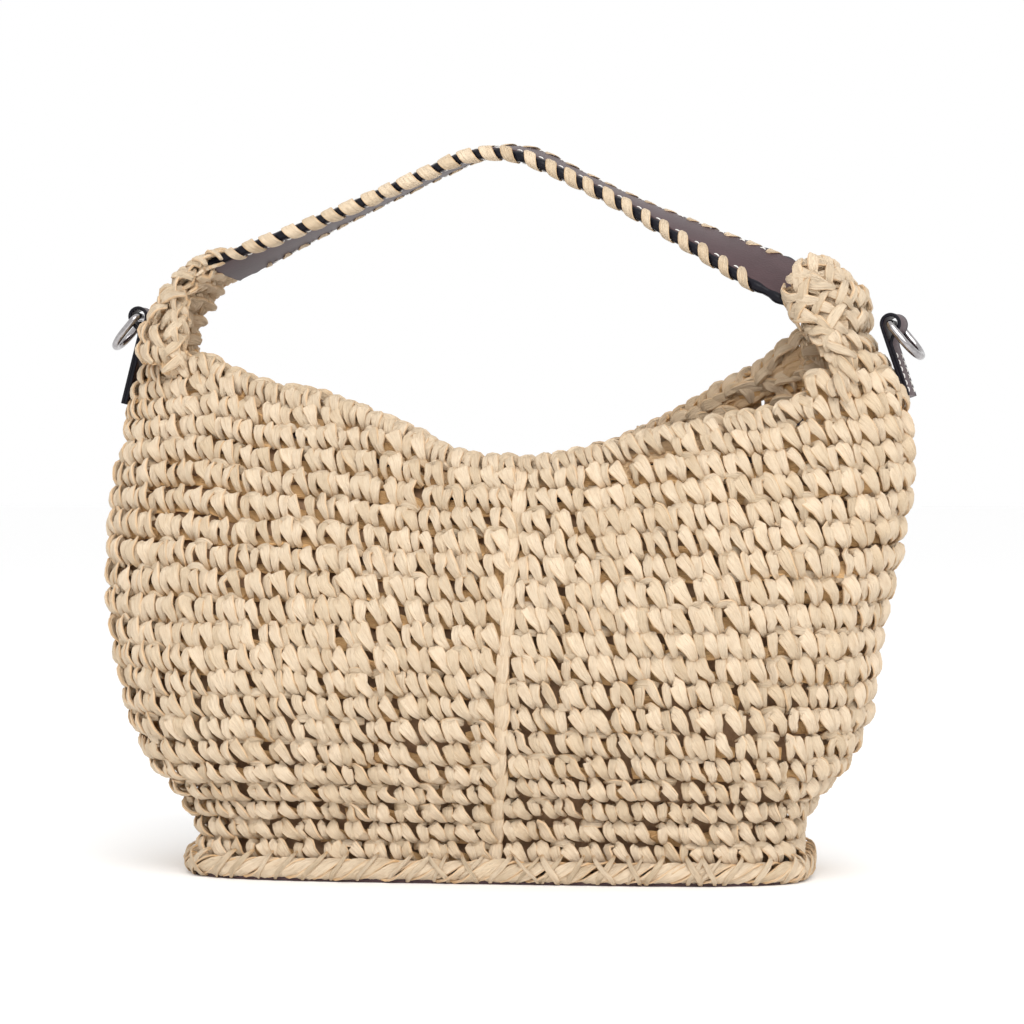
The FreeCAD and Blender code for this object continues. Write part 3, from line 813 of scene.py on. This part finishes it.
def neck_row(side, run):
    first, last = neck_cover(side, run)
    angles = np.linspace(first, last, 400)
    line = neck_point(side, np.full(400, float(run)), angles)
    here, place, along, pitch = resample(line, angles, NECK_STITCH)
    above, below = [neck_point(side, np.full(len(here), run + step), here) for step in (1.0, -1.0)]
    return Spots(place, along, above - below, pitch, NECK_ROW)


def neck_edge(side, last):
    """Spots along a free edge of a neck's open inner side; up points into the opening."""
    runs = np.linspace(-6, NECK_EDGE_END[side], 260)
    runs = runs[::-1] if last else runs
    cover = neck_cover(side, runs)[1 if last else 0]
    line = neck_point(side, runs, cover)
    here, place, along, pitch = resample(line, np.arange(len(runs)), 9.0)
    at, run = np.interp(here, np.arange(len(runs)), cover), np.interp(here, np.arange(len(runs)), runs)
    step = 0.05 if last else -0.05
    into = neck_point(side, run, at + step) - neck_point(side, run, at)
    return Spots(place, along, into, pitch, NECK_ROW).moved_up(-HALF_ROW)


def make_neck(side):
    """Sloping rows at the foot; higher up, narrow bands that cross each other."""
    strands = Strands()
    for run in np.arange(NECK_ROWS_START[side], NECK_ROWS_END[side], NECK_ROW_STEP):
        row = neck_row(side, run)
        crossed = smooth_step((run - CROSS_START) / CROSS_RISE)
        lift = NECK_LIFT * smooth_step(run / 18)
        legs = row.some(1 - 0.75 * crossed)
        for leg in (RIGHT_LEG, LEFT_LEG):
            knit(strands, legs, leg, loose=1.2, widen=1.02, lift=lift)
        knit(strands, row.some(0.9 * crossed), CROSS_UP, loose=1.3, lift=lift + 0.7)
        knit(strands, row.some(0.1 + 0.9 * crossed), CROSS_DOWN, loose=1.3, lift=lift)
        for drop in (0.0, 4.3):
            knit(strands, row.moved_up(drop), BACK_BAR, loose=0.7, widen=1.15, lift=lift + 0.6, shade=0.7)
        if run < NECK_LINED_TO:
            for strand in (INNER_BAR, INNER_POST):
                knit(strands, row, strand, loose=1.2, twist=0.3, lift=1.0, shade=0.2)
    for last in (False, True):
        edge = neck_edge(side, last)
        knit(strands, edge, EDGE_LOOP, lift=NECK_LIFT - 0.6, shade=0.25)
        knit(strands, edge, CROSS_DOWN if last else CROSS_UP, lift=NECK_LIFT)
        knit(strands, edge, BACK_BAR, shade=0.5)
    return strands.build("crochet_neck_" + side, RAFFIA)


# ---- base ----
RIM_HALF, RIM_SQUARENESS = (152.5, 65.0), 4.5
ROPE_TURN, ROPE_PLIES = 46.0, 4      # length of one turn of the rope, and its strands
ROPE_HEIGHT, ROPE_RADII = 6.2, (2.6, 4.0)
RIM_STEPS = 3600


def rim_line():
    """Even points round the rim, with the direction and the outward direction at each."""
    t = np.append(np.linspace(0, 2 * pi, 4000, endpoint=False), 0)
    p = np.stack([RIM_HALF[0] * squarish(np.cos(t), 2 / RIM_SQUARENESS),
                  RIM_HALF[1] * squarish(np.sin(t), 2 / RIM_SQUARENESS), 0 * t], -1)
    run = lengths_along(p)
    length = run[-1]
    p = along_line(np.arange(RIM_STEPS) * length / RIM_STEPS, run, p)
    along = unit(np.roll(p, -1, 0) - np.roll(p, 1, 0))
    out = np.cross(along, (0, 0, 1.0))
    return p, along, out, length


def rim_index(share):
    """Number of the rim's point that lies at a share of its length."""
    return np.round(share * RIM_STEPS).astype(int) % RIM_STEPS


def make_rim():
    """A rope of four strands, each laid as short overlapping pieces."""
    strands = Strands()
    p, _, out, length = rim_line()
    turns = round(length / ROPE_TURN)
    samples = 9
    for ply in range(ROPE_PLIES):
        for turn in range(turns):
            middle = (turn + ply / ROPE_PLIES + RNG.normal(0, 0.03)) / turns
            share = middle + np.linspace(-0.46, 0.46, samples) / turns
            phase = np.linspace(-0.92, 0.92, samples) * pi
            index = rim_index(share)
            lift = ROPE_RADII[1] * np.sin(phase) * RNG.normal(1, 0.06)
            push = ROPE_RADII[0] * np.cos(phase) - 1.2 + RNG.normal(0, 0.2)
            line = p[index] + out[index] * push[:, None]
            line[:, 2] = ROPE_HEIGHT + lift
            normal = out[index] * np.cos(phase)[:, None] + np.array([0, 0, 1.0]) * np.sin(phase)[:, None]
            width = 2.2 + 4.4 * np.cos(np.linspace(-1.4, 1.4, samples)) * RNG.normal(1, 0.1)
            # painted shade: each ply is tinted darker where it turns under and into the rope
            painted_shade = smooth_step((0.3 - np.cos(phase)) / 1.1)
            strands.add(line[None], normal[None], width[None], 2.0, 12,
                        np.full((1, samples), RNG.normal(0, 0.15)), depth=painted_shade[None])
    return strands.build("rim_rope", RAFFIA)


WHIP_COUNT, WHIP_CROSSED = 62, 0.35  # strands that sew, and the share that a second one crosses
# share of a strand's reach along the rim, out from its line, height, width and painted shade tint, strongest
# at its ends
WHIP_PATH = numbers(
    (-1.0, -3.4, 1.5, 1.6, 0.8), (-0.8, 0.2, 1.4, 2.4, 0.2), (-0.5, 2.2, 4.2, 3.0, 0),
    (0.0, 2.6, 7.0, 3.0, 0), (0.5, 2.2, 10.2, 2.8, 0), (0.85, 0.6, 12.6, 2.2, 0.1),
    (1.0, -3.0, 14.0, 1.4, 0.8),
)


def make_whipping():
    """Thin strands that sew the rim to the leather plate and to the first row."""
    strands = Strands()
    p, along, out, _ = rim_line()
    where = (np.arange(WHIP_COUNT) + RNG.normal(0, 0.16, WHIP_COUNT)) / WHIP_COUNT
    for share in where:
        for slant in (1, -1) if RNG.random() < WHIP_CROSSED else (1,):
            reach = slant * RNG.uniform(3.2, 6.5)
            index = rim_index(share)
            line = (p[index] + along[index] * (WHIP_PATH[:, :1] * reach)
                    + out[index] * (WHIP_PATH[:, 1:2] + 0.4 * (slant < 0)))
            line[:, 2] = WHIP_PATH[:, 2]
            width = WHIP_PATH[:, 3] * RNG.uniform(0.6, 1.15)
            face = np.broadcast_to(out[index], line.shape)
            strands.add(line[None], face[None], width[None], 1.1, 12, depth=WHIP_PATH[None, :, 4])
    return strands.build("rim_whipping", RAFFIA)


# ---- lining ----
LINING_INSET, LINING_THICK, LINING_FLOOR, LINING_DROP = 10.1, 1.0, 5.2, 21.0
BINDING_HEIGHT, BINDING_THICK = 8.0, 1.1


def lining_top(angles):
    z = np.full_like(angles, 200.0)
    for _ in range(6):
        x = wall(angles, z, LINING_INSET)[..., 0]
        z = np.minimum(mouth_height(x, angles) - LINING_DROP, 226.0)
    return z


def lining_point(angle, z, inset):
    p = wall(angle, np.maximum(z, 9.0), inset)
    p[..., 2] = z
    return p


def make_lining():
    """A bag of cloth with a flat floor: wall outside, wall inside, and a floor to each."""
    around, up = 200, 34
    angles = np.linspace(0, 2 * pi, around, endpoint=False)
    top = lining_top(angles)
    shells = []
    for layer in (0.0, LINING_THICK):
        inset, floor = LINING_INSET + layer, LINING_FLOOR + layer
        levels = floor + (top[None] - floor) * (np.linspace(0, 1, up) ** 1.05)[:, None]
        a = np.broadcast_to(angles, levels.shape)
        p = lining_point(a, levels, inset)
        sag = 1.5 + 0.7 * ripple(p, 34, 31)
        sag = sag * np.sin(np.linspace(0, pi, up))[:, None] ** 0.5
        inward = lining_point(a, levels, inset + 1.0) - p
        shells.append(p + inward * np.maximum(sag, 0)[..., None])
    outer, inner = shells
    floors = [np.stack([shell[0] * (f, f, 1) for f in (0.8, 0.6, 0.4, 0.2, 0.02)]) for shell in shells]
    rows = np.concatenate([floors[0][::-1], outer, inner[::-1], floors[1]])
    faces = [tube_sides(len(rows), around)] + tube_ends(len(rows), around)
    mesh = mesh_from("lining_cloth", rows.reshape(-1, 3), faces)
    return finish_mesh("lining_cloth", mesh, CLOTH, SLAB_CREASE)


def make_binding():
    count = 420
    angles = np.linspace(0, 2 * pi, count, endpoint=False)
    top = lining_top(angles)
    middle = lining_point(angles, top - BINDING_HEIGHT / 2, LINING_INSET + 1.6)
    outer, inner = [lining_point(angles, top - 4, LINING_INSET + inset) for inset in (0, 5)]
    inward = unit(inner - outer)
    section = slab(BINDING_HEIGHT / 2, -BINDING_THICK, BINDING_THICK, 0.5)
    band = sweep("binding_leather", middle, inward, section, BINDING, closed=True)
    stitches = Strands(ROUND)
    for i in range(0, count - 3, 4):
        face = inward[i:i + 3]
        where = middle[i:i + 3] + face * (BINDING_THICK + 0.15) - (0, 0, BINDING_HEIGHT / 2 - 1.8)
        stitches.add(where[None], face[None], 0.9, 0.8, 5)
    thread = stitches.build("binding_stitches", THREAD, crease=None)
    return band, thread


# ---- strap ----
STRAP_SLOPE, STRAP_RADIUS = radians(24), 58.0
KNEE = (170.0, 286.0)
STRAP_ENDS = (-164.0, 176.0)
# distance from the peak, and the strap's roll there in degrees
ROLLS = numbers(
    (-176, -9), (-146, -5), (-112, 3), (-78, 7.5), (-30, 9), (5, 7), (36, 1.5), (70, 2.5),
    (110, 13), (145, 25), (182, 32),
)
LACES, LACE_STEP = 27, 11.4
FACE_HALF, FACE_INNER, FACE_OUTER = 16.3, 0.6, 2.6      # of each leather face, from the middle
EDGE_MIDDLE, EDGE_RADIUS = 16.2, 2.3
THREAD_LINE, THREAD_OUT = 14.7, 2.7


def strap_frame(distance):
    """Middle, direction, across and out of the strap at a distance from its peak."""
    apex = KNEE[1] + KNEE[0] * tan(STRAP_SLOPE)
    centre = apex - STRAP_RADIUS / cos(STRAP_SLOPE)
    side = np.sign(distance)
    bent = np.minimum(np.abs(distance) / STRAP_RADIUS, STRAP_SLOPE)
    rest = np.maximum(np.abs(distance) - STRAP_RADIUS * STRAP_SLOPE, 0)
    u = side * (STRAP_RADIUS * np.sin(bent) + rest * cos(STRAP_SLOPE))
    z = centre + STRAP_RADIUS * np.cos(bent) - rest * sin(STRAP_SLOPE)
    zero = np.zeros_like(u)
    out = np.stack([side * np.sin(bent), zero, np.cos(bent)], -1)
    roll = np.radians(through(ROLLS, distance)[..., 0])
    across, out = turned(np.array([0, 1.0, 0]), out, -roll[..., None])
    return np.stack([u, zero, z], -1), across, out


def on_strap(distance, across, out):
    """Point of the strap in the bag's frame."""
    middle, side, normal = strap_frame(distance)
    return handle_place(middle + side * np.asarray(across)[..., None] + normal * np.asarray(out)[..., None])


def strap_normal(distance):
    zero = 0.0 * distance
    return unit(on_strap(distance, zero, zero + 1) - on_strap(distance, zero, zero))


def make_strap():
    d = np.linspace(*STRAP_ENDS, 300)
    path, normal = on_strap(d, 0 * d, 0 * d), strap_normal(d)
    turns = np.linspace(-pi / 2, pi / 2, 7)
    bulge = [(EDGE_MIDDLE + EDGE_RADIUS * cos(t), EDGE_RADIUS * sin(t)) for t in turns]
    edge_section = np.array(bulge + [(-x, -y) for x, y in bulge])
    # the lacing draws the edges in, and they swell between the laces
    beat = np.cos(2 * pi * (d / LACE_STEP - 0.5))
    width = np.stack([1 + 0.035 * beat, 1 + 0.10 * beat], -1)
    edge = sweep("strap_edge", path, normal, edge_section, EDGE_PAINT, scale=width)
    faces = []
    for name, low, high in (("top", FACE_INNER, FACE_OUTER), ("under", -FACE_OUTER, -FACE_INNER)):
        face = slab(FACE_HALF, low, high, 0.6)
        faces.append(sweep("strap_face_" + name, path, normal, face, LEATHER))
    return zip([edge] + faces, ["strap_core", "strap_top", "strap_bottom"])


def make_laces(side):
    """Raffia turns through holes near one edge; each leans along the strap as it crosses."""
    strands = Strands()
    d = (np.arange(LACES) - (LACES - 1) / 2) * LACE_STEP + RNG.normal(0, 0.6, LACES)
    right = smooth_step((d + 25) / 50)
    outer = smooth_step((-126 - d) / 16)
    wide = (7.4 - 2.2 * right - 2.6 * outer) * RNG.normal(1, 0.10, LACES)
    slip = 3.9 + 1.3 * right + 1.4 * outer
    # slip along the strap, distance from its middle, out, width share, painted shade tint at the holes
    turn = numbers(
        (-1.0, 12.3, 1.6, 0.22, 0.9), (-0.85, 13.2, 3.2, 0.50, 0.1), (-0.6, 16.2, 3.4, 0.92, 0),
        (-0.3, 18.6, 2.2, 1.0, 0), (0.0, 19.5, 0.0, 1.0, 0), (0.3, 18.6, -2.2, 1.0, 0),
        (0.6, 16.2, -3.4, 0.92, 0), (0.85, 13.2, -3.2, 0.50, 0.1), (1.0, 12.3, -1.6, 0.22, 0.9),
    )
    at = d[:, None] + slip[:, None] * turn[None, :, 0] * RNG.normal(1, 0.12, (LACES, 1))
    across = np.broadcast_to(turn[:, 1] * side, at.shape)
    height = np.broadcast_to(turn[:, 2], at.shape)
    if side > 0:
        across, height = across - side * 0.7 * turn[:, 3], height * 0.86
    controls = on_strap(at, across, height)
    push = np.stack([np.clip((turn[:, 1] - 15.5) / 4, 0, 1) * side, np.clip(turn[:, 2] / 3, -1, 1)], -1)
    beyond = on_strap(at, across + push[:, 0], height + push[:, 1])
    normals = unit(beyond - controls)
    strands.add(controls, normals, wide[:, None] * turn[None, :, 3], 0.9, 17,
                RNG.normal(0, 0.04, (LACES, 1)), depth=np.broadcast_to(turn[:, 4], at.shape))
    return strands.build("lacing_front" if side < 0 else "lacing_back", RAFFIA)


def make_strap_thread():
    stitches = Strands(ROUND)
    middles = (np.arange(LACES - 1) - (LACES - 2) / 2) * LACE_STEP
    for line in (-THREAD_LINE, THREAD_LINE):
        for height in (THREAD_OUT, -THREAD_OUT):
            for step in (-2.1, 2.1):
                at = middles[:, None] + step + np.array([-1.5, -0.7, 0.7, 1.5])[None]
                rise = height + np.sign(height) * np.array([-0.5, 0.1, 0.1, -0.5])
                controls = on_strap(at, np.full(at.shape, line), np.broadcast_to(rise, at.shape))
                stitches.add(controls, strap_normal(at), 0.9, 0.7, 6)
    return stitches.build("strap_thread", THREAD, crease=None)


# ---- side loops and rings ----
TABS = {
    "left": {"foot": (-200.4, 45.0, 232.0), "reach": 46.0, "lean": 14.0, "yaw": 181.0},
    "right": {"foot": (199.9, -45.5, 232.0), "reach": 35.5, "lean": 19.0, "yaw": -14.0},
}
TAB_HALF, TAB_THREAD, TAB_STITCH = 7.0, 4.9, 3.4     # half-width, thread's place, stitch step
EYE, EYE_MIDDLE = 5.2, 4.35          # the eye's distance from the back layer, and its radius
RING_WIRE, RING_HALF, RING_ARM, RING_CORNER, RING_LEAN = 1.9, 10.0, 10.0, 3.5, 40.0


def tab_place(side, p):
    spec = TABS[side]
    x, z = turned(p[..., 0], p[..., 2], radians(spec["lean"]))
    x, y = turned(x, p[..., 1], radians(spec["yaw"]))
    return np.stack([x, y, z], -1) + np.array(spec["foot"])


def tab_facing(side, p, direction):
    return unit(tab_place(side, p + direction) - tab_place(side, p))


def tab_path(side):
    """The strip's middle: up its front layer, round the ring and down its back layer."""
    reach = TABS[side]["reach"]
    front = [(2.3, z) for z in np.linspace(0.4, reach - 10, 10)]
    front += [(2.6, reach - 8.5), (4.2, reach - 6.2), (6.6, reach - 4.6)]
    turns = np.radians(np.linspace(-52, 180, 26))
    loop = [(EYE + EYE_MIDDLE * cos(t), reach + EYE_MIDDLE * sin(t)) for t in turns]
    back = [(0.8, z) for z in np.linspace(reach - 3, 0.4, 14)]
    flat = np.array(front + loop + back)
    return np.stack([flat[:, 0], 0 * flat[:, 0], flat[:, 1]], -1)


def make_tab(side):
    path = tab_path(side)
    along = unit(np.gradient(path, axis=0))
    normal = np.cross(along, (0, 1.0, 0))
    place, facing = tab_place(side, path), tab_facing(side, path, normal)
    flat = slab(TAB_HALF - 0.35, -0.72, 0.72, 0.3)
    strip = sweep("tab_leather_" + side, place, facing, flat, LEATHER)
    ridge = slab(0.62, -0.86, 0.86, 0.55)
    edges = []
    for end, y in (("front", -1), ("back", 1)):
        line = tab_place(side, path + (0, y * (TAB_HALF - 0.45), 0))
        edges.append(sweep(f"tab_edge_{side}_{end}", line, facing, ridge, EDGE_PAINT))
    stitches = Strands(ROUND)
    z = np.arange(2.2, TABS[side]["reach"] - 13, TAB_STITCH)
    for y in (-TAB_THREAD, TAB_THREAD):
        stitch = np.array([(2.72, y, 0), (3.22, y, 0.6), (3.22, y, 1.8), (2.72, y, 2.4)])
        line = stitch[None] + z[:, None, None] * (0, 0, 1)
        stitches.add(tab_place(side, line), tab_facing(side, line, (1, 0, 0)), 0.8, 0.6, 6)
    thread = stitches.build("tab_thread_" + side, THREAD, crease=None)
    return strip, edges, thread


def make_ring(side):
    h, arm, r = RING_HALF, RING_ARM, RING_CORNER
    corner = np.linspace(0, pi / 2, 8)
    points = [(y, 0.0) for y in np.linspace(-h + r, h - r, 8)]
    points += [(h - r + r * sin(t), -r + r * cos(t)) for t in corner[1:]]
    points += [(h, -z) for z in np.linspace(r, arm, 5)[1:]]
    points += [(h * cos(t), -arm - h * sin(t)) for t in np.linspace(0, pi, 30)[1:]]
    points += [(-h, -z) for z in np.linspace(arm, r, 5)[1:]]
    points += [(-h + r - r * cos(t), -r + r * sin(t)) for t in corner[1:-1]]
    flat = np.array(points)
    spec = TABS[side]
    swing = radians(spec["lean"] - RING_LEAN)
    local = np.stack([flat[:, 1] * sin(swing), flat[:, 0], flat[:, 1] * cos(swing)], -1)
    local = local + (EYE, 0, spec["reach"])
    face = np.array([cos(swing), 0, -sin(swing)]) + 0 * local
    place, facing = tab_place(side, local), tab_facing(side, local, face)
    wire = RING_WIRE * circle(24)
    return sweep("ring_wire_" + side, place, facing, wire, METAL, closed=True, crease=None)


# ---- studio ----
FLOOR_HALF = 30.0
KEY_PLACE, KEY_AIM, KEY_SIZE, KEY_POWER = (0.5, -1.7, 1.7), (0, 0, 0.16), 1.8, 34


def make_floor():
    mesh = bpy.data.meshes.new("floor")
    corners = [(-FLOOR_HALF, -FLOOR_HALF, 0), (FLOOR_HALF, -FLOOR_HALF, 0),
               (FLOOR_HALF, FLOOR_HALF, 0), (-FLOOR_HALF, FLOOR_HALF, 0)]
    mesh.from_pydata(corners, [], [(0, 1, 2, 3)])
    floor = in_scene("floor", mesh)
    mesh.materials.append(Nodes("floor", Roughness=0.9, Base_Color=(0.99, 0.99, 0.99, 1)).material)


def aimed(obj, place, aim):
    obj.location = place
    obj.rotation_euler = (aim - Vector(place)).to_track_quat("-Z", "Y").to_euler()


def make_studio():
    """White surroundings and one broad light from the front, above."""
    scene = bpy.context.scene
    scene.view_settings.view_transform = "Standard"
    world = bpy.data.worlds.new("studio")
    world.use_nodes = True
    world.node_tree.nodes["Background"].inputs["Color"].default_value = (1, 1, 1, 1)
    world.node_tree.nodes["Background"].inputs["Strength"].default_value = 1.0
    scene.world = world
    light = bpy.data.lights.new("key", "AREA")
    light.shape, light.size, light.energy = "SQUARE", KEY_SIZE, KEY_POWER
    aimed(in_scene("key", light), KEY_PLACE, Vector(KEY_AIM))


CAMERA_YAW, CAMERA_RANGE, CAMERA_HEIGHT = radians(7.0), 1.6, 0.190
FRAME_WIDTH = 0.5090                 # width of the view at the object's middle
AIM_SIDE, AIM_HEIGHT = 0.0049, 0.1774


def make_camera():
    data = bpy.data.cameras.new("camera")
    data.sensor_width = 36.0
    data.lens = data.sensor_width * CAMERA_RANGE / FRAME_WIDTH
    obj = in_scene("camera", data)
    aim = Vector((AIM_SIDE * cos(CAMERA_YAW), AIM_SIDE * sin(CAMERA_YAW), AIM_HEIGHT))
    away = Vector((sin(CAMERA_YAW), -cos(CAMERA_YAW), 0)) * CAMERA_RANGE
    aimed(obj, aim + away + Vector((0, 0, CAMERA_HEIGHT - AIM_HEIGHT)), aim)
    bpy.context.scene.camera = obj


def bends(obj, *nodes):
    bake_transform(obj)
    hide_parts(*nodes)


def rides(obj, body, *nodes):
    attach(obj, body)
    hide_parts(*nodes)


def dress(node, material):
    """Gives a CAD node that stays in view its material."""
    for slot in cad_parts[node].material_slots:
        slot.material = material


make_camera()
make_floor()
make_studio()
for side in ("left", "right"):
    for piece in make_panel(side):
        seam = {"crochet_right_front": ["seam_front"], "crochet_left_back": ["seam_back"]}.get(piece.name, [])
        bends(piece, "panel_" + side, *seam)
    bends(make_neck(side), "neck_" + side)
rides(make_rim(), "bag", "base_rim")
rides(make_whipping(), "bag", "base_whipstitch")
rides(make_lining(), "bag", "lining")
for piece in make_binding():
    rides(piece, "bag", "lining_binding")
for piece, node in make_strap():
    rides(piece, "handle", node)
rides(make_laces(-1), "handle", "strap_lacing_front")
rides(make_laces(1), "handle", "strap_lacing_back")
rides(make_strap_thread(), "handle", "strap_stitching")
for side in ("left", "right"):
    strip, edges, thread = make_tab(side)
    for piece in [strip] + edges:
        rides(piece, "bag", "tab_" + side)
    rides(thread, "bag", "tab_stitches_" + side)
    rides(make_ring(side), side + "_ring", "ring_" + side)
dress("base_leather", LEATHER)
dress("base_board", BOARD)
